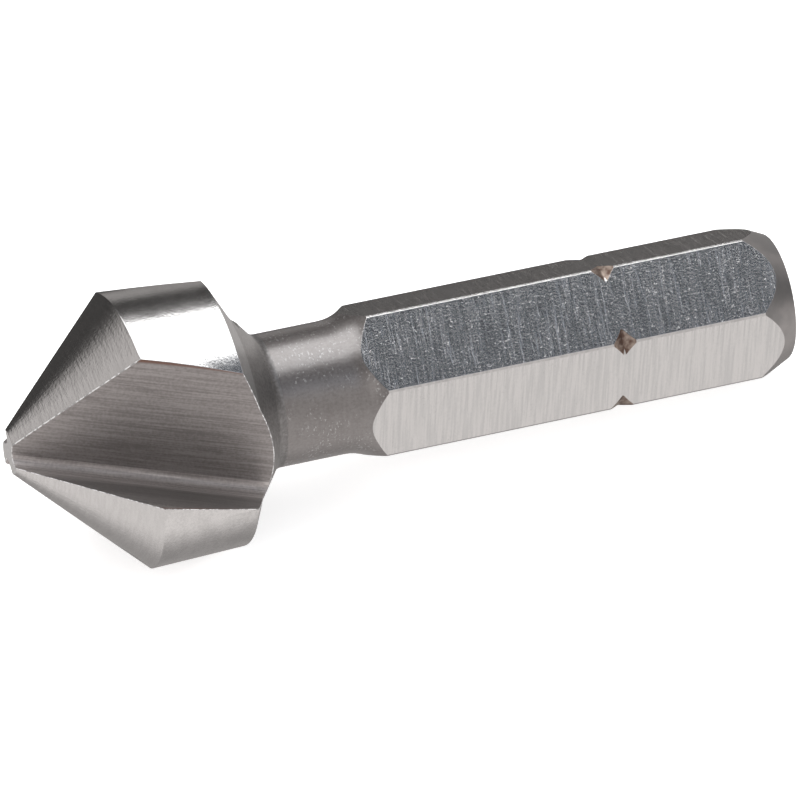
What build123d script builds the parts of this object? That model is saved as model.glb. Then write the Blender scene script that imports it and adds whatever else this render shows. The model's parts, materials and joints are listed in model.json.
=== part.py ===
from build123d import *
import os
from math import acos, atan2, cos, degrees, hypot, radians, sin, tan

# Three-flute 90 degree countersink bit with a 1/4 inch hexagonal drive end.
#
# The bit is one piece of tool steel. It is shaped here in the order of the real work: the blank is
# turned from bar and its drive end is given six flats, the cone is ground with relief, and three V
# flutes are milled across the head. That is done with the bit standing on its tip: tip flat at
# z = 0, axis on +Z, and the floor of the first flute in the plane y = 0.
# The finished bit is then laid down as it comes to rest, on one flute and one corner of the drive
# end, with its tip toward -X and the middle of its footprint at the origin.
#
# Millimetres and degrees. Cone and wall angles are measured from the bit's axis.

# ---- Driving dimensions ------------------------------------------------------------------------

overall_length = 35.8

# Hexagonal drive end
drive_across_flats = 6.35
drive_corner_diameter = 7.26  # the corners are turned down to a narrow land
drive_turn = 1.8  # from the floor of the first flute to a corner of the hexagon
end_chamfer_length = 1.65
end_chamfer_angle = 25.0
shoulder_angle = 36.0
shoulder_fillet = 2.2

# Ball-catch notches, turned as one V groove that only reaches the six corners
notch_from_end = 8.3
notch_width = 1.04
notch_depth = 0.27
notch_nose_radius = 0.12

# Neck
neck_diameter = 6.0
neck_length = 4.0  # between the foot of the head's back cone and the foot of the shoulder
neck_fillet = 0.6

# Head
head_diameter = 12.4
land_back_diameter = 12.1
land_length = 4.45
point_angle = 90.0
tip_flat_diameter = 2.2
back_ring_length = 0.75
back_ring_angle = 62.0
back_cone_angle = 52.0
relief_offset = 0.2  # each tooth's cone is ground about a centre this far off the axis

# Flutes, each a straight V cut whose floor climbs away from the axis toward the neck
tooth_count = 3
flute_angle = 65.0  # between the two walls
flute_floor_slope = 19.2
flute_floor_radius = 0.44  # of the sharp floor line, at the tip flat
cutting_wall_turn = 50.0  # from the radius through the floor to the wall with the cutting edge
flute_floor_fillet = 0.35

# ---- Derived sizes -----------------------------------------------------------------------------

drive_corner_radius = drive_corner_diameter / 2
neck_radius = neck_diameter / 2
head_radius = head_diameter / 2
land_back_radius = land_back_diameter / 2
tip_flat_radius = tip_flat_diameter / 2

cone_length = (head_radius - tip_flat_radius) / tan(radians(point_angle / 2))
land_end = cone_length + land_length
land_taper = (head_radius - land_back_radius) / land_length
ring_end = land_end + back_ring_length
ring_end_radius = land_back_radius - back_ring_length * tan(radians(back_ring_angle))
neck_start = ring_end + (ring_end_radius - neck_radius) / tan(radians(back_cone_angle))

shoulder_start = neck_start + neck_length
drive_start = shoulder_start + (drive_corner_radius - neck_radius) / tan(radians(shoulder_angle))
end_chamfer_start = overall_length - end_chamfer_length
end_face_radius = drive_corner_radius - end_chamfer_length * tan(radians(end_chamfer_angle))
notch_height = overall_length - notch_from_end

tooth_sector = 360 / tooth_count
heel_wall_turn = cutting_wall_turn + flute_angle


# ---- Turned blank ------------------------------------------------------------------------------

# Outline from the axis at the tip, round the outside, to the axis at the drive end: each corner's
# radius and height, and its fillet. The taper of the lands starts at the tip, because the cone is
# ground out of it afterwards.
outline = [
    ((0, 0), 0),
    ((head_radius + land_taper * cone_length, 0), 0),
    ((land_back_radius, land_end), 0),
    ((ring_end_radius, ring_end), 0),
    ((neck_radius, neck_start), neck_fillet),
    ((neck_radius, shoulder_start), shoulder_fillet),
    ((drive_corner_radius, drive_start), 0),
    ((drive_corner_radius, notch_height - notch_width / 2), 0),
    ((drive_corner_radius - notch_depth, notch_height), notch_nose_radius),
    ((drive_corner_radius, notch_height + notch_width / 2), 0),
    ((drive_corner_radius, end_chamfer_start), 0),
    ((end_face_radius, overall_length), 0),
    ((0, overall_length), 0),
]

with BuildPart() as blank:
    with BuildSketch(Plane.XZ):
        with BuildLine():
            FilletPolyline(
                *[point for point, fillet_radius in outline],
                radius=[fillet_radius for point, fillet_radius in outline],
                close=True,
            )
        make_face()
    revolve(axis=Axis.Z)

    # Six flats on everything behind the neck
    with BuildSketch(Plane.XY.offset(shoulder_start)):
        Circle(head_radius)
        RegularPolygon(
            drive_across_flats / 2,
            side_count=6,
            major_radius=False,
            rotation=drive_turn,
            mode=Mode.SUBTRACT,
        )
    extrude(amount=overall_length - shoulder_start, mode=Mode.SUBTRACT)

# ---- Relieved cone -----------------------------------------------------------------------------

# The cone of a tooth has its centre set off toward the cutting edge, so that it falls away from
# that edge to the heel. The cone is made narrower by what the offset adds at the cutting edge,
# which is a quarter of a sector away from the middle of the tooth. The sides of the sector lie in
# the open part of the flutes on either side.
cone_centre = Vector(0, -relief_offset, 0)
cone_reach = 2 * head_radius
edge_rise = relief_offset * sin(radians(tooth_sector / 4))
cone_tip_radius = tip_flat_radius - edge_rise
cone_top = (cone_reach - cone_tip_radius) / tan(radians(point_angle / 2))

with BuildPart() as tooth_cone:
    with BuildSketch(Plane(cone_centre, x_dir=(1, 0, 0), z_dir=(0, -1, 0))):
        with BuildLine():
            Polyline(
                (0, 0),
                (cone_tip_radius, 0),
                (cone_reach, cone_top),
                (cone_reach, overall_length),
                (0, overall_length),
                close=True,
            )
        make_face()
    revolve(axis=Axis(cone_centre, (0, 0, 1)))
    split(bisect_by=Plane.XZ.rotated((0, 0, -tooth_sector / 2)), keep=Keep.BOTTOM)
    split(bisect_by=Plane.XZ.rotated((0, 0, tooth_sector / 2)), keep=Keep.TOP)

with BuildPart() as relieved_cone:
    with PolarLocations(0, tooth_count):
        add(tooth_cone.part)

# ---- One flute ---------------------------------------------------------------------------------

# The V is drawn square to its floor line, with x pointing away from the bit's axis.
flute_plane = Plane(
    origin=(flute_floor_radius, 0, 0),
    x_dir=(cos(radians(flute_floor_slope)), 0, -sin(radians(flute_floor_slope))),
    z_dir=(sin(radians(flute_floor_slope)), 0, cos(radians(flute_floor_slope))),
)
flute_reach = 1.5 * head_diameter


def wall_point(turn):
    """Far end of a flute wall, which leaves the floor line at this angle from the radius."""
    return (flute_reach * cos(radians(turn)), -flute_reach * sin(radians(turn)))


with BuildPart() as flute:
    with BuildSketch(flute_plane):
        with BuildLine():
            FilletPolyline(
                (0, 0),
                wall_point(heel_wall_turn),
                wall_point(cutting_wall_turn),
                radius=[flute_floor_fillet, 0, 0],
                close=True,
            )
        make_face()
    extrude(amount=flute_reach, both=True)

# ---- Finished bit, standing on its tip ---------------------------------------------------------

with BuildPart() as standing_bit:
    add(blank.part)
    add(relieved_cone.part, mode=Mode.INTERSECT)
    with PolarLocations(0, tooth_count):
        add(flute.part, mode=Mode.SUBTRACT)

# ---- Finished bit, at rest ---------------------------------------------------------------------


def wall_angle(wall_turn, radius, height):
    """Angle round the standing bit at which a flute wall cuts a circle of this radius and height."""
    across = flute_plane.x_dir * cos(radians(wall_turn)) - flute_plane.y_dir * sin(radians(wall_turn))
    normal = flute_plane.z_dir.cross(across)
    reach = normal.dot(flute_plane.origin) - normal.Z * height
    half_angle = acos(reach / (radius * hypot(normal.X, normal.Y)))
    return degrees(atan2(normal.Y, normal.X) - half_angle)


def nearest_corner(radius, angle, height):
    """Corner of the standing bit nearest to a point given by radius, angle and height."""
    point = (radius * cos(radians(angle)), radius * sin(radians(angle)), height)
    return Vector(*standing_bit.vertices().sort_by_distance(point)[0])


# The bit lies across one flute on three points: the front corner of the land behind the flute, the
# back corner of the land ahead of it, and the corner of the hexagon between them.
front_angle = wall_angle(cutting_wall_turn, head_radius, cone_length)
back_angle = wall_angle(heel_wall_turn, land_back_radius, land_end)
down_angle = (front_angle + back_angle) / 2
drive_angle = drive_turn + 60 * round((down_angle - drive_turn) / 60)

front_foot = nearest_corner(head_radius, front_angle, cone_length)
back_foot = nearest_corner(land_back_radius, back_angle, land_end)
drive_foot = nearest_corner(
    drive_corner_radius, drive_angle + (1 if down_angle > drive_angle else -1), end_chamfer_start
)

floor_normal = (drive_foot - back_foot).cross(front_foot - back_foot).normalized()
bit_axis = Vector(0, 0, 1)
floor_plane = Plane(
    origin=back_foot,
    x_dir=bit_axis - floor_normal * bit_axis.dot(floor_normal),
    z_dir=floor_normal,
)
lying_bit = standing_bit.part.moved(floor_plane.location.inverse())
footprint = lying_bit.bounding_box()

with BuildPart() as countersink_bit:
    with Locations((-footprint.center().X, -footprint.center().Y, 0)):
        add(lying_bit)

countersink_bit.part.label = "countersink_bit"
os.makedirs("parts", exist_ok=True)
export_step(countersink_bit.part, "parts/countersink_bit.step")
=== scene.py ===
# %% [markdown]
# # A countersink bit
#
# A countersink bit is turned and ground from one short bar of tool steel. It has a cone with three
# teeth at the front, a round neck, and a hexagonal drive end with six small catch notches. This
# lesson loads the solid that was made in CAD, gives it the fine edges that ground steel has, and
# then gives each surface its own finish.

# %% Load the solid
import json
from math import atan2, cos, degrees, hypot, pi, radians, sin

import bmesh
import bpy
from mathutils import Matrix, Vector


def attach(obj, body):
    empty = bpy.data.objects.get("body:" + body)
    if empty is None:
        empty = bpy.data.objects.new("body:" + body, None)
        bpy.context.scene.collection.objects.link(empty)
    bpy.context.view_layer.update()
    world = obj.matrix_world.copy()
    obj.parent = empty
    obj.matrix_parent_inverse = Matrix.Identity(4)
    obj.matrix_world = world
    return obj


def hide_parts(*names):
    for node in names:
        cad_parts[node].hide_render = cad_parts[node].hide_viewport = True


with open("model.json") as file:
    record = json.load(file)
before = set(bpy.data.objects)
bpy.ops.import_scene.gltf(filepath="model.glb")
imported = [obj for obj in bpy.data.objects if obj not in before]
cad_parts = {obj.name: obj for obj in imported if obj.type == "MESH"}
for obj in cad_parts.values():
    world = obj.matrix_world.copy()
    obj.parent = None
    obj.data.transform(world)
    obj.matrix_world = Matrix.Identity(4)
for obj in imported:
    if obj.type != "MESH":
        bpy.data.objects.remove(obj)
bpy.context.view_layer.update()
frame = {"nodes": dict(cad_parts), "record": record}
bit_node = frame["nodes"]["countersink_bit"]
MM = 0.001

# %% [markdown]
# The bit lies on the bench a little nose-up, so its own axis isn't quite level. The two ends of that
# axis are mounts in the record, which gives a frame for everything that follows: along the bit from
# the tip, and out from the axis. The axis could be fitted to the mesh, but the record has it exactly.

# %% Find the bit's axis
mounts = {mount["name"]: mount for mount in frame["record"]["mounts"]}
tip = Vector(mounts["cutting_cone"]["pos_m"])
tail = Vector(mounts["drive_end_face"]["pos_m"])
along = (tail - tip).normalized()
nose_up = atan2(-along.z, along.x)
to_bit = Matrix.Rotation(-nose_up, 3, "Y")
print("length", round((tail - tip).length / MM, 2), "mm, nose up", round(degrees(nose_up), 2), "deg")


def bit_point(point):
    """A point in millimetres on the bit: x along the axis from the tip, y across it, z over it."""
    return to_bit @ (point - tip) / MM


# %% [markdown]
# The camera looks down on the bit from the front left through a long lens, so that the far end isn't
# made much smaller than the near one.

# %% Camera
camera_data = bpy.data.cameras.new("camera")
camera_data.lens = 416.06
camera_data.sensor_width = 36.0
camera_data.clip_end = 10.0
camera = bpy.data.objects.new("camera", camera_data)
camera.location = (-0.09050927, -0.28327992, 0.28487496)
camera.rotation_euler = (radians(46.53426), radians(1.681974), radians(-19.327027))
bpy.context.scene.collection.objects.link(camera)
bpy.context.scene.camera = camera
print("camera", round(camera.location.length / MM), "mm away")

# %% [markdown]
# Light and finishes are written here as sums of patterns, which is easier to read as arithmetic than
# as a web of nodes. A wire wraps one output of a node, and adding or multiplying wires adds Math
# nodes. A board is one tree of nodes. The nodes could be placed and linked by hand in the editor,
# but a finish is easier to compare and change when it is a few lines of text.

# %% Wires and boards


class Wire:
    """One output of a node. Arithmetic on it adds Math nodes to the same board."""

    def __init__(self, board, socket):
        self.board = board
        self.socket = socket

    def math(self, operation, first, second):
        return self.board.node("ShaderNodeMath", {"operation": operation}, {0: first, 1: second})

    def __add__(self, other):
        return self.math("ADD", self, other)

    def __radd__(self, other):
        return self.math("ADD", other, self)

    def __sub__(self, other):
        return self.math("SUBTRACT", self, other)

    def __rsub__(self, other):
        return self.math("SUBTRACT", other, self)

    def __mul__(self, other):
        return self.math("MULTIPLY", self, other)

    def __rmul__(self, other):
        return self.math("MULTIPLY", other, self)


class Board:
    """A tree of nodes that starts empty."""

    def __init__(self, tree):
        self.tree = tree
        self.tree.nodes.clear()

    def node(self, kind, settings=None, inputs=None, output=0):
        """Adds a node: its settings first, then the values or wires of its sockets."""
        made = self.tree.nodes.new(kind)
        for name, value in (settings or {}).items():
            setattr(made, name, value)
        for name, value in (inputs or {}).items():
            if isinstance(value, Wire):
                self.tree.links.new(value.socket, made.inputs[name])
            else:
                made.inputs[name].default_value = value
        return Wire(self, made.outputs[output]) if made.outputs else made

    def ramp(self, value, low, high, start=0.0, stop=1.0):
        """A soft step, from start where the value is at low to stop where it is at high.

        Low may be the larger of the two, and then the step runs the other way.
        """
        return self.node(
            "ShaderNodeMapRange",
            {"interpolation_type": "SMOOTHSTEP"},
            {"Value": value, "From Min": low, "From Max": high, "To Min": start, "To Max": stop},
        )

    def mix(self, amount, first, second):
        """A colour between two others."""
        return self.node(
            "ShaderNodeMix", {"data_type": "RGBA"}, {0: amount, 6: first, 7: second}, output=2
        )


print("wires and boards ready")

# %% [markdown]
# Polished steel shows little but its surroundings, so the light is most of the picture. The bench is
# a light table: a pale sheet that glows faintly, so that the bit's shadow on it stays soft and thin.
# It could be a curved backdrop too, but a flat sheet is enough where the camera looks down.

# %% Bench
BENCH_HALF_WIDTH = 1.5
BENCH_GLOW = 0.62
bench_mesh = bmesh.new()
bmesh.ops.create_grid(bench_mesh, x_segments=1, y_segments=1, size=BENCH_HALF_WIDTH)
bench_data = bpy.data.meshes.new("bench")
bench_mesh.to_mesh(bench_data)
bench_mesh.free()
bench = bpy.data.objects.new("bench", bench_data)
bpy.context.scene.collection.objects.link(bench)

pale_sheet = bpy.data.materials.new("pale_sheet")
pale_sheet.use_nodes = True
sheet = Board(pale_sheet.node_tree)
sheet_shader = sheet.node(
    "ShaderNodeBsdfPrincipled",
    inputs={
        "Base Color": (0.80, 0.80, 0.80, 1.0),
        "Roughness": 0.9,
        "Emission Color": (1.0, 1.0, 1.0, 1.0),
        "Emission Strength": BENCH_GLOW,
    },
)
sheet.node("ShaderNodeOutputMaterial", inputs={"Surface": sheet_shader})
bench_data.materials.append(pale_sheet)
print("bench", 2 * BENCH_HALF_WIDTH, "m wide")

# %% [markdown]
# One soft box hangs over the bit and a little behind it. Its reflection is the white band on the
# lands and the neck, and its front edge falls just beside what the upper flats mirror, so that every
# grinding mark on them sparkles. Small bare bulbs would leave hot points on the round parts in its
# place. A second, broad lamp only lights the bench.


# %% Lamps
def hang_lamp(name, bearing, height, distance, size, brightness, seen_in_steel=True):
    """A soft rectangle of light: its bearing and height in degrees as the bit sees it."""
    bearing, height = radians(bearing), radians(height)
    spot = Vector((sin(bearing) * cos(height), cos(bearing) * cos(height), sin(height))) * distance
    data = bpy.data.lights.new(name, "AREA")
    data.shape = "RECTANGLE"
    data.size, data.size_y = size
    data.energy = brightness * pi * size[0] * size[1]
    lamp = bpy.data.objects.new(name, data)
    lamp.location = spot
    lamp.rotation_euler = (-spot).to_track_quat("-Z", "Y").to_euler()
    lamp.visible_glossy = seen_in_steel
    bpy.context.scene.collection.objects.link(lamp)
    print(name, round(data.energy, 3), "W")


hang_lamp("soft_box", bearing=8, height=64.5, distance=0.5, size=(0.60, 0.474), brightness=2.6)
hang_lamp(
    "bench_lamp", bearing=0, height=90, distance=1.2, size=(4.0, 4.0), brightness=BENCH_GLOW,
    seen_in_steel=False,
)

# %% [markdown]
# A bench in a real room is bright in front, where the light reaches it, and dull behind and under
# the work. In shiny steel that difference matters more than the bench's own colour, so the steel
# doesn't see the bench itself: the lower half of the room stands in for it.
#
# The upper half is dim. Each line adds one thing that some face of the bit mirrors: a glow round the
# soft box, the wall in front, a window on the left for the side of the cone, and a bright strip and
# a wall on the right. A grey wall far behind is for the upper back flat. The place above the bit is
# a little blue, as a cool ceiling is, and the rest is a little red. A picture of a real room could
# do all this, but a few soft steps are easier to move.

# %% Room
bench.visible_glossy = False
bench.visible_shadow = False
room = bpy.data.worlds.new("room")
room.use_nodes = True
bpy.context.scene.world = room
bpy.context.scene.view_settings.view_transform = "Standard"

sky = Board(room.node_tree)
way = sky.node("ShaderNodeTexCoord", output="Generated")


def toward(*direction):
    """How much a ray points one way: 1 straight toward it, 0 square to it, -1 away."""
    settings = {"operation": "DOT_PRODUCT"}
    sockets = {0: way, 1: Vector(direction).normalized()}
    return sky.node("ShaderNodeVectorMath", settings, sockets, "Value")


left, back, over = toward(-1, 0, 0), toward(0, 1, 0), toward(0, 0, 1)

shade_under_bit = sky.ramp(toward(0.12, 0.30, -0.94), 0.60, 0.99) * 0.60
bench_glow = (0.96 - shade_under_bit) * sky.ramp(back, 0.745, 0.865, 1.0, 0.075)

dim_room = 0.12 - sky.ramp(back, 0.2, 0.7) * 0.06
halo = sky.ramp(over, 0.30, 0.58) * sky.ramp(back, 0.2, 0.6) * 0.16
front_wall = sky.ramp(back, -0.35, -0.70) * 0.62
left_window = sky.ramp(left, 0.40, 0.65) * sky.ramp(over, 0.10, 0.42) * 0.60
right_strip = sky.ramp(left, -0.42, -0.62) * sky.ramp(over, 0.40, 0.62) * 0.45
right_wall = sky.ramp(left, -0.50, -0.75) * sky.ramp(back, 0.0, 0.5) * 0.40
upper_room = dim_room + halo + front_wall + left_window + right_strip + right_wall

far_wall = sky.ramp(toward(0.30, 0.94, -0.12), 0.960, 0.995) * 0.30
above = sky.ramp(over, -0.06, 0.04)
glow = bench_glow * (1 - above) + upper_room * above + far_wall

cool = sky.ramp(over, 0.5, 0.8) * sky.ramp(back, 0.5, 0.0) * sky.ramp(left, 0.3, 0.0)
tint = sky.mix(cool, (1.03, 0.985, 0.96, 1.0), (0.90, 0.98, 1.12, 1.0))
background = sky.node("ShaderNodeBackground", inputs={"Color": tint, "Strength": glow})
sky.node("ShaderNodeOutputWorld", inputs={"Surface": background})
print("room lit by", len(room.node_tree.nodes), "nodes")

# %% [markdown]
# The CAD mesh is loose triangles. A copy of it is merged, and flat neighbours are joined, so that
# each flute wall and each flat is one clean face. The bit could be modelled again from scratch, but
# its solid already has the true shape. All it needs for its edges to be rounded is whole faces.

# %% Copy and clean the mesh
SAME_POINT = 0.002 * MM
SAME_PLANE = radians(0.4)
body = bmesh.new()
body.from_mesh(bit_node.data)
bmesh.ops.remove_doubles(body, verts=body.verts, dist=SAME_POINT)
bmesh.ops.dissolve_limit(body, angle_limit=SAME_PLANE, verts=body.verts, edges=body.edges)
print(len(body.faces), "faces,", len([e for e in body.edges if not e.is_manifold]), "open edges")

# %% [markdown]
# Each face is sorted by the tool that made it, which is how the real finishes differ. The cone and
# the lands are ground, the flutes are milled lengthwise, the neck is turned, and the flats are
# ground across. Where a face lies and which way it faces are enough to tell. Faces could be picked
# by their number too, but the numbers change each time the solid does.

# %% Sort the faces by finish
FINISHES = [
    "cone", "land", "flute", "rake", "ring", "back", "neck", "flat", "corner", "notch", "chamfer",
    "end", "burr_and_glint",
]
# Millimetres along the bit from the tip
TIP_FACE, CONE_END, HEAD_END, RING_END, FLUTES_END, BACK_END = 0.05, 5.4, 9.58, 10.31, 11.0, 11.9
FLATS_START, SHOULDER_END, CHAMFER_START, TAIL_FACE = 15.6, 16.6, 34.0, 35.7
# Millimetres out from the axis
LAND_REACH, CORNER_REACH = 5.9, 3.55
CONE_LEAN = -0.707


def finish_of(face):
    """Which tool made this face, from where it lies and which way it faces."""
    spot = bit_point(face.calc_center_median())
    facing = to_bit @ face.normal
    reach = hypot(spot.y, spot.z)
    outward = (facing.y * spot.y + facing.z * spot.z) / max(reach, 1e-6)
    turning = (facing.z * spot.y - facing.y * spot.z) / max(reach, 1e-6)
    if abs(facing.x) > 0.98 and (spot.x < TIP_FACE or spot.x > TAIL_FACE):
        return "end"
    if spot.x < CONE_END and abs(facing.x - CONE_LEAN) < 0.15 and outward > 0.5:
        return "cone"
    if spot.x < HEAD_END and reach > LAND_REACH and outward > 0.99:
        return "land"
    if HEAD_END - 0.05 < spot.x < BACK_END and facing.x > 0.05 and abs(turning) < 0.05:
        return "ring" if spot.x < RING_END else "back"
    if spot.x < FLUTES_END:
        return "rake" if turning < -0.2 else "flute"
    if spot.x < FLATS_START or (spot.x < SHOULDER_END and abs(facing.x) > 0.1):
        return "neck"
    if spot.x > CHAMFER_START and facing.x > 0.2:
        return "chamfer"
    if abs(facing.x) > 0.01:
        return "notch"
    return "corner" if abs(outward - 1) < 0.002 and reach > CORNER_REACH else "flat"


for face in body.faces:
    face.material_index = FINISHES.index(finish_of(face))
    face.smooth = True
tally = [face.material_index for face in body.faces]
print({finish: tally.count(n) for n, finish in enumerate(FINISHES)})

# %% [markdown]
# No ground edge is perfectly sharp. An edge a few hundredths of a millimetre wide is too small to
# change the shape, but it catches the light as a fine bright line. The edges of the flutes carry a
# burr of fresh steel as well. So two sets of edges are marked here, and a bevel takes each set
# later. A bevel could also pick its edges by their angle, but then all would be equally wide.
#
# The mark on an edge is its share of the full width. Edges beside a flat are finer, those of the
# notches are finer still, and a short edge gets no more than it has room for. The marked edges are
# also sharp, which keeps the big faces beside them evenly shaded.

# %% Mark the edges
EDGE_WIDTH = 0.03 * MM
SHARE_AT_FLATS, SHARE_AT_NOTCHES = 0.4, 0.2
SHARP_FROM = radians(14)
flute_sides = {FINISHES.index("flute"), FINISHES.index("rake")}
ground_sides = {FINISHES.index(name) for name in ("cone", "land", "ring", "back", "end")}
heel_sides = {FINISHES.index("flute"), FINISHES.index("land")}
marks = {name: body.edges.layers.float.new(name) for name in ("burred", "plain")}
tally = {"burred": 0, "plain": 0}
for edge in body.edges:
    if not edge.is_manifold or edge.calc_face_angle() < SHARP_FROM:
        continue
    edge.smooth = False
    sides = {face.material_index for face in edge.link_faces}
    burred = sides & flute_sides and sides & ground_sides and sides != heel_sides
    share = 1.0
    if FINISHES.index("flat") in sides:
        share = SHARE_AT_FLATS
    if FINISHES.index("notch") in sides:
        share = SHARE_AT_NOTCHES
    room_for_it = edge.calc_length() / (2 * EDGE_WIDTH)
    name = "burred" if burred else "plain"
    edge[marks[name]] = min(share, room_for_it)
    tally[name] += 1
print("edges", tally)

# %% [markdown]
# Each flute was cut in one straight pass, so its fine grooves run parallel to its floor. The
# mesh gets a map for that: the first coordinate runs along the flute and the second runs up the
# wall, both in millimetres, and the flute's finish is stretched along the first. Each flute could
# have a turned finish of its own, but with the map one finish serves all three. A face belongs to
# the flute whose floor it is parallel to and passes nearest.

# %% Grain direction of the flutes
FLUTE_SLOPE = radians(19.2)
FLUTE_BEARINGS = [radians(bearing) for bearing in (-34.44, 85.56, -154.44)]
FLOOR_AT_TIP = 0.44
TILT_COST = 20


def flute_line(bearing):
    """A point on a flute's floor at the tip, and the way that the floor runs, on the bit."""
    outward = Vector((0, cos(bearing), sin(bearing)))
    return FLOOR_AT_TIP * outward, Vector((cos(FLUTE_SLOPE), 0, 0)) + outward * sin(FLUTE_SLOPE)


flute_lines = [flute_line(bearing) for bearing in FLUTE_BEARINGS]
grain = body.loops.layers.uv.new("grain")
for face in body.faces:
    facing = to_bit @ face.normal
    spot = bit_point(face.calc_center_median())
    line_start, line_way = min(
        flute_lines,
        key=lambda line: TILT_COST * abs(facing.dot(line[1])) + abs(facing.dot(spot - line[0])),
    )
    up_the_wall = facing.cross(line_way).normalized()
    for loop in face.loops:
        arm = bit_point(loop.vert.co) - line_start
        loop[grain].uv = (arm.dot(line_way), arm.dot(up_the_wall))
print("flute floors climb", round(degrees(FLUTE_SLOPE), 1), "degrees from the axis")

# %% [markdown]
# The body becomes one object that stands for the CAD solid. Two bevels finish it, one for each set
# of marked edges. Hardened normals leave the shading of the faces beside an edge as it was, which
# the long mirrors of the lands need. The bevels' own guard against overlaps is off, because a
# single tiny edge would make it shrink them all, and the marks have already seen to short edges.

# %% Finished body
body_data = bpy.data.meshes.new("ground_bit")
body.to_mesh(body_data)
body.free()
ground_bit = bpy.data.objects.new("ground_bit", body_data)
bpy.context.scene.collection.objects.link(ground_bit)
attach(ground_bit, "root")
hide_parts("countersink_bit")


def ease_edges(mark, finish_number):
    """A small round on the edges that carry this mark."""
    ease = ground_bit.modifiers.new(mark, "BEVEL")
    ease.limit_method = "WEIGHT"
    ease.edge_weight = mark
    ease.width = EDGE_WIDTH
    ease.segments = 2
    ease.profile = 0.5
    ease.material = finish_number
    ease.harden_normals = True
    ease.use_clamp_overlap = False


ease_edges("plain", -1)
ease_edges("burred", FINISHES.index("burr_and_glint"))
print(len(body_data.polygons), "faces before the edges are eased")

# %% [markdown]
# A finish is a board that ends in one metal shader. Its patterns are measured on the bit itself: the
# first axis runs along the bit, so a noise that changes quickly along it and slowly across it draws
# the rings and cross marks that a lathe or a grinding wheel leaves. The same patterns could be
# painted pictures, but a pattern from the bit's own coordinates has no seams and no pixels.
#
# Nine changes in a millimetre is the finest grain that still shows. A finer one only blurs to grey.

# %% A steel finish
FINEST = 9


class Finish(Board):
    """One material, with the patterns that steel needs."""

    def __init__(self, name):
        self.material = bpy.data.materials.new(name)
        self.material.use_nodes = True
        super().__init__(self.material.node_tree)
        place = self.node("ShaderNodeTexCoord", output="Object")
        self.on_bit = self.node(
            "ShaderNodeMapping",
            {"vector_type": "TEXTURE"},
            {"Vector": place, "Location": tip, "Rotation": (0, nose_up, 0), "Scale": (MM, MM, MM)},
        )

    def noise(self, stretch, detail=3.0, where=None):
        """Noise from 0 to 1, with so many changes in a millimetre each way."""
        scaled = self.node(
            "ShaderNodeVectorMath", {"operation": "MULTIPLY"}, {0: where or self.on_bit, 1: stretch}
        )
        return self.node(
            "ShaderNodeTexNoise", inputs={"Vector": scaled, "Scale": 1.0, "Detail": detail}
        )

    def full_range(self, pattern):
        """Noise keeps near its middle, so this spreads its middle over all of 0 to 1."""
        return self.ramp(pattern, 0.38, 0.62)

    def reach(self):
        """Distance from the bit's axis, in millimetres."""
        across = self.node(
            "ShaderNodeVectorMath", {"operation": "MULTIPLY"}, {0: self.on_bit, 1: (0, 1, 1)}
        )
        return self.node("ShaderNodeVectorMath", {"operation": "LENGTH"}, {0: across}, "Value")

    def steel(self, colour, roughness, height, metal=1.0, polish=0.0):
        """Joins colour, roughness and surface height in millimetres to a metal shader.

        Polish is a thin clear skin, such as oil or wear leaves: it adds a colourless highlight.
        """
        bump = self.node("ShaderNodeBump", inputs={"Distance": MM, "Height": height})
        shader = self.node(
            "ShaderNodeBsdfPrincipled",
            inputs={
                "Base Color": colour,
                "Metallic": metal,
                "Roughness": roughness,
                "Coat Weight": polish,
                "Coat Roughness": 0.27,
                "Coat IOR": 1.85,
                "Normal": bump,
            },
        )
        self.node("ShaderNodeOutputMaterial", inputs={"Surface": shader})
        print(self.material.name, "made of", len(self.tree.nodes), "nodes")
        return self.material


def grey(level, warmth=0.0):
    """A steel colour, a little red at a positive warmth and a little blue at a negative one."""
    return (level * (1 + warmth), level, level * (1 - 0.3 * warmth), 1.0)


steels = {}
print("the finest grain is", round(1 / FINEST, 2), "mm")

# %% [markdown]
# The cone is ground while the bit turns, so its marks run round it. They are short and uneven. On
# the side that mirrors the dark room they sparkle, and on the side that mirrors the bench they
# hardly show. Painted strokes would show on both sides alike, so these are mostly height and only a
# little colour.

# %% Ground cone
cone = Finish("ground_cone")
strokes = cone.noise((FINEST, 1, 1), 5.0)
specks = cone.noise((FINEST, FINEST, FINEST), 3.0)
tone = cone.full_range(strokes * 0.7 + specks * 0.3)
colour = cone.mix(tone, grey(0.545, 0.01), grey(0.585, 0.01))
steels["cone"] = cone.steel(colour, 0.14 + strokes * 0.08, strokes * 0.012 + specks * 0.008)

# %% [markdown]
# The lands are ground round too, with a finer wheel, and they are the brightest mirrors on the bit.
# A perfect mirror would be simpler, but its reflections would have edges like cut paper, so a
# little cloudiness breaks them up. The rounded corners of the hexagon have the same finish.


# %% Ground lands and corners
def ground_round(name):
    finish = Finish(name)
    specks = finish.noise((FINEST, 7, 7), 4.0)
    cloud = finish.noise((1.6, 1, 1), 3.0)
    tone = finish.full_range(specks * 0.5 + cloud * 0.5)
    colour = finish.mix(tone, grey(0.55, 0.01), grey(0.63, 0.01))
    return finish.steel(colour, 0.16 + cloud * 0.07, specks * 0.006)


steels["land"] = ground_round("ground_land")
steels["corner"] = ground_round("ground_corner")
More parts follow.
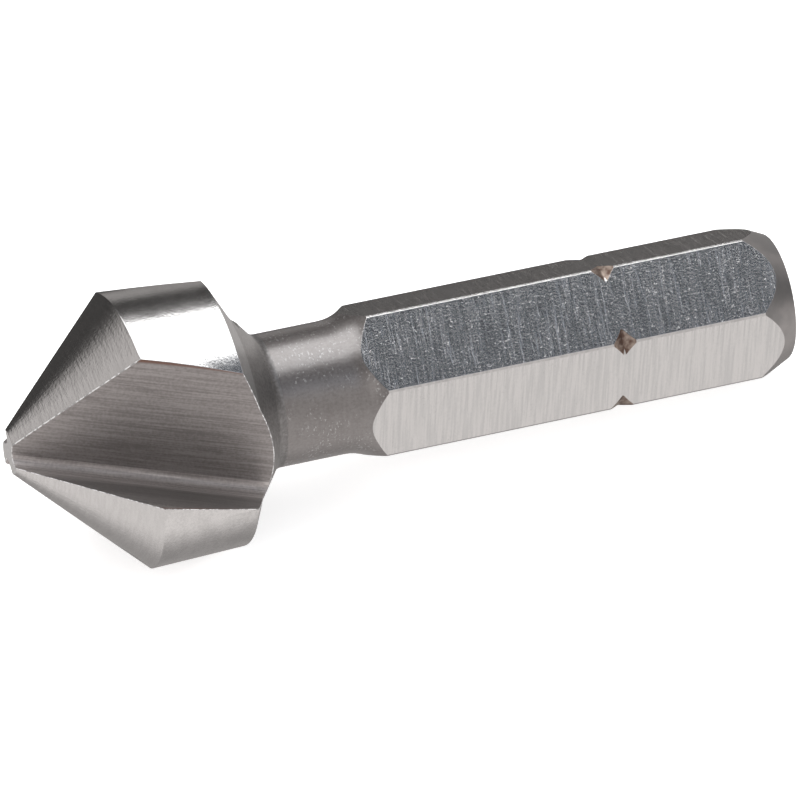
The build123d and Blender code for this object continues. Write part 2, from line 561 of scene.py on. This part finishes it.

# %% [markdown]
# The flutes are milled and left so: a dull brownish grey with fine grooves along the cut. The rim
# where a wall meets the land has a brown line, such as dried cutting fluid leaves. The wall with
# the cutting edge has lighter greys, which are painted light, and between its floor and its rim lies
# a darker band of painted shade. The grooves could be cut into the mesh, but they are finer than
# its edges, so they are streaks in the map of each flute.


# %% Milled flutes
def milled_flute(name, dark, light, painted_band_shade=0.0):
    finish = Finish(name)
    grain_map = finish.node("ShaderNodeUVMap", {"uv_map": "grain"})
    streaks = finish.noise((0.32, 8.5, 1), 6.0, grain_map)
    broad = finish.noise((0.10, 1.3, 1), 2.0, grain_map)
    specks = finish.noise((8, 8, 8), 3.0)
    tone = finish.full_range(streaks * 0.5 + broad * 0.25 + specks * 0.25)
    signed_height = finish.node("ShaderNodeSeparateXYZ", inputs={"Vector": grain_map}, output=1)
    up_the_wall = finish.node("ShaderNodeMath", {"operation": "ABSOLUTE"}, {0: signed_height})
    ragged = up_the_wall + specks * 0.7
    # painted shade: a darker band up the wall, between its floor and its rim
    shade_band = finish.ramp(ragged, 1.3, 2.0) * finish.ramp(ragged, 5.0, 3.9)
    milled_and_shaded = finish.mix(shade_band * painted_band_shade, finish.mix(tone, dark, light), grey(0.08, 0.08))
    rim = finish.ramp(finish.reach(), 5.95, 6.09)
    colour = finish.mix(rim, milled_and_shaded, (0.17, 0.10, 0.08, 1.0))
    height = streaks * 0.007 + specks * 0.003
    return finish.steel(colour, 0.42 + streaks * 0.10, height, metal=0.72)


steels["flute"] = milled_flute("milled_flute", grey(0.19, 0.09), grey(0.31, 0.07))
# The lighter greys of this wall are painted light, and its darker band is painted shade.
steels["rake"] = milled_flute("milled_rake", grey(0.29, 0.09), grey(0.50, 0.07), painted_band_shade=0.70)

# %% [markdown]
# The back of the head is only turned, in two cuts: a steep ring at the rim, and a flatter cone that
# runs into the neck. Both are grey and even, with faint rings. One finish for both would be enough
# for the marks, but the flatter cone's greys are darker: painted shade in the hollow between the
# head and the neck. So each has its own pair of greys.


# %% Turned back
def turned_back(name, dark, light):
    finish = Finish(name)
    rings = finish.noise((8, 0.5, 0.5), 4.0)
    specks = finish.noise((8, 8, 8), 4.0)
    colour = finish.mix(finish.ramp(specks, 0.35, 0.68), dark, light)
    return finish.steel(colour, 0.30 + rings * 0.1, rings * 0.003 + specks * 0.004, metal=0.8)


steels["ring"] = turned_back("turned_ring", grey(0.27, 0.02), grey(0.33, 0.01))
# painted shade: these darker greys stand for the shade between the head and the neck
steels["back"] = turned_back("turned_back", grey(0.155, 0.04), grey(0.215, 0.03))

# %% [markdown]
# The neck is turned too, and handling has made it dull and brown, with a cloudy skin and small
# bright nicks in patches. The same handling has polished that skin. A smoother metal would mirror
# the soft box in brown, so the polish is a clear coat over it, which mirrors without colour.

# %% Turned neck
neck = Finish("turned_neck")
rings = neck.noise((8, 0.8, 0.8), 5.0)
specks = neck.noise((7, FINEST, FINEST), 5.0)
handled = neck.ramp(neck.noise((0.7, 0.9, 0.9), 2.0), 0.42, 0.60)
nicks = neck.ramp(neck.noise((FINEST, 6, 6), 4.0), 0.57, 0.67) * handled
cloud = neck.noise((0.9, 1.2, 1.2), 4.0)
tone = neck.ramp(specks * 0.5 + rings * 0.2 + cloud * 0.3, 0.36, 0.64)
worn = neck.mix(tone, grey(0.096, 0.13), grey(0.138, 0.09))
colour = neck.mix(nicks * 0.4, worn, grey(0.55))
height = specks * 0.006 + rings * 0.003 - nicks * 0.006
steels["neck"] = neck.steel(colour, 0.28 + cloud * 0.10, height, metal=0.65, polish=1.0)

# %% [markdown]
# The flats are ground across the bar, by a wheel that is a few degrees askew. The strokes are
# short, straight and close together, with pits and a few deeper scores among them. Those are what
# sparkles when a flat is turned just out of the light. A rougher metal would make the whole flat
# pale there, so the metal stays smooth and the marks have height.

# %% Ground flats
flat = Finish("ground_flat")
askew = flat.node(
    "ShaderNodeMapping", inputs={"Vector": flat.on_bit, "Rotation": (0, radians(-1), radians(8))}
)
strokes = flat.noise((FINEST, 0.4, 0.4), 5.0, askew)
specks = flat.noise((FINEST, FINEST, FINEST), 4.0)
pits = flat.ramp(flat.noise((6, 6, 6), 3.0), 0.66, 0.70)
scores = flat.ramp(flat.noise((7, 0.4, 0.4), 3.0, askew), 0.55, 0.68)
tone = flat.full_range(strokes * 0.8 + specks * 0.2)
colour = flat.mix(tone, grey(0.520), grey(0.59, 0.01))
height = strokes * 0.012 + specks * 0.005 - pits * 0.004 - scores * 0.007
steels["flat"] = flat.steel(colour, 0.12 + strokes * 0.06, height)

# %% [markdown]
# The chamfer at the drive end is turned and has gone brown with handling. It could share the
# neck's finish, but it is smoother and has no nicks.

# %% Turned chamfer
chamfer = Finish("turned_chamfer")
rings = chamfer.noise((FINEST, 0.6, 0.6), 4.0)
cloud = chamfer.noise((0.8, 0.8, 0.8), 3.0)
colour = chamfer.mix(chamfer.ramp(cloud, 0.35, 0.65), grey(0.21, 0.03), grey(0.26, 0.05))
steels["chamfer"] = chamfer.steel(colour, 0.30 + rings * 0.08, rings * 0.003, metal=0.8)

# %% [markdown]
# A ball in the tool holder catches in the notches. Little rubs their walls, so stains stay there:
# brown blotches, about as large as a wall. They could be given depth, but a stain has hardly any,
# so they are mostly colour.

# %% Stained notches
notch = Finish("stained_notch")
stain = notch.noise((3, 3, 3), 4.0)
tone = notch.ramp(stain, 0.36, 0.66)
colour = notch.mix(tone, (0.11, 0.07, 0.055, 1.0), (0.33, 0.27, 0.23, 1.0))
steels["notch"] = notch.steel(colour, 0.28 + stain * 0.2, stain * 0.01, metal=0.85)

# %% [markdown]
# The end faces are turned, so their rings lie round the axis. A ring could be modelled for each
# pass of the tool, but noise that reads only the distance from the axis draws them all at once.

# %% Turned ends
end = Finish("turned_end")
marks = end.noise((8, 8, 8), 4.0)
from_axis = end.node("ShaderNodeCombineXYZ", inputs={"X": end.reach()})
rings = end.noise((8, 1, 1), 4.0, from_axis)
tone = end.full_range(rings * 0.7 + marks * 0.3)
colour = end.mix(tone, grey(0.37, 0.01), grey(0.46, 0.01))
steels["end"] = end.steel(colour, 0.26 + marks * 0.1, rings * 0.008 + marks * 0.003, metal=0.8)

# %% [markdown]
# The burr is the thin torn rim of fresh steel that milling leaves on the flutes' edges. Crumbs
# could be modelled along the edge, but it is too narrow for them to show. A mirror finish would
# turn black wherever it faces the dark room, so the burr is dull and painted light grey: a painted
# glint along the edge, which stays bright from every side.

# %% Raw burr
burr_and_glint = Finish("raw_burr_painted_glint")
crumbs = burr_and_glint.noise((6, 6, 6), 3.0)
# painted glint: the light grey keeps the burred edges bright from every side
colour = burr_and_glint.mix(burr_and_glint.ramp(crumbs, 0.44, 0.58), grey(0.28, 0.02), grey(0.72))
steels["burr_and_glint"] = burr_and_glint.steel(colour, 0.40, crumbs * 0.01, metal=0.4)

# %% [markdown]
# The faces already know the number of their finish, so the body takes the finishes in that order.

# %% Finishes
for finish in FINISHES:
    body_data.materials.append(steels[finish])
print(len(body_data.materials), "finishes")
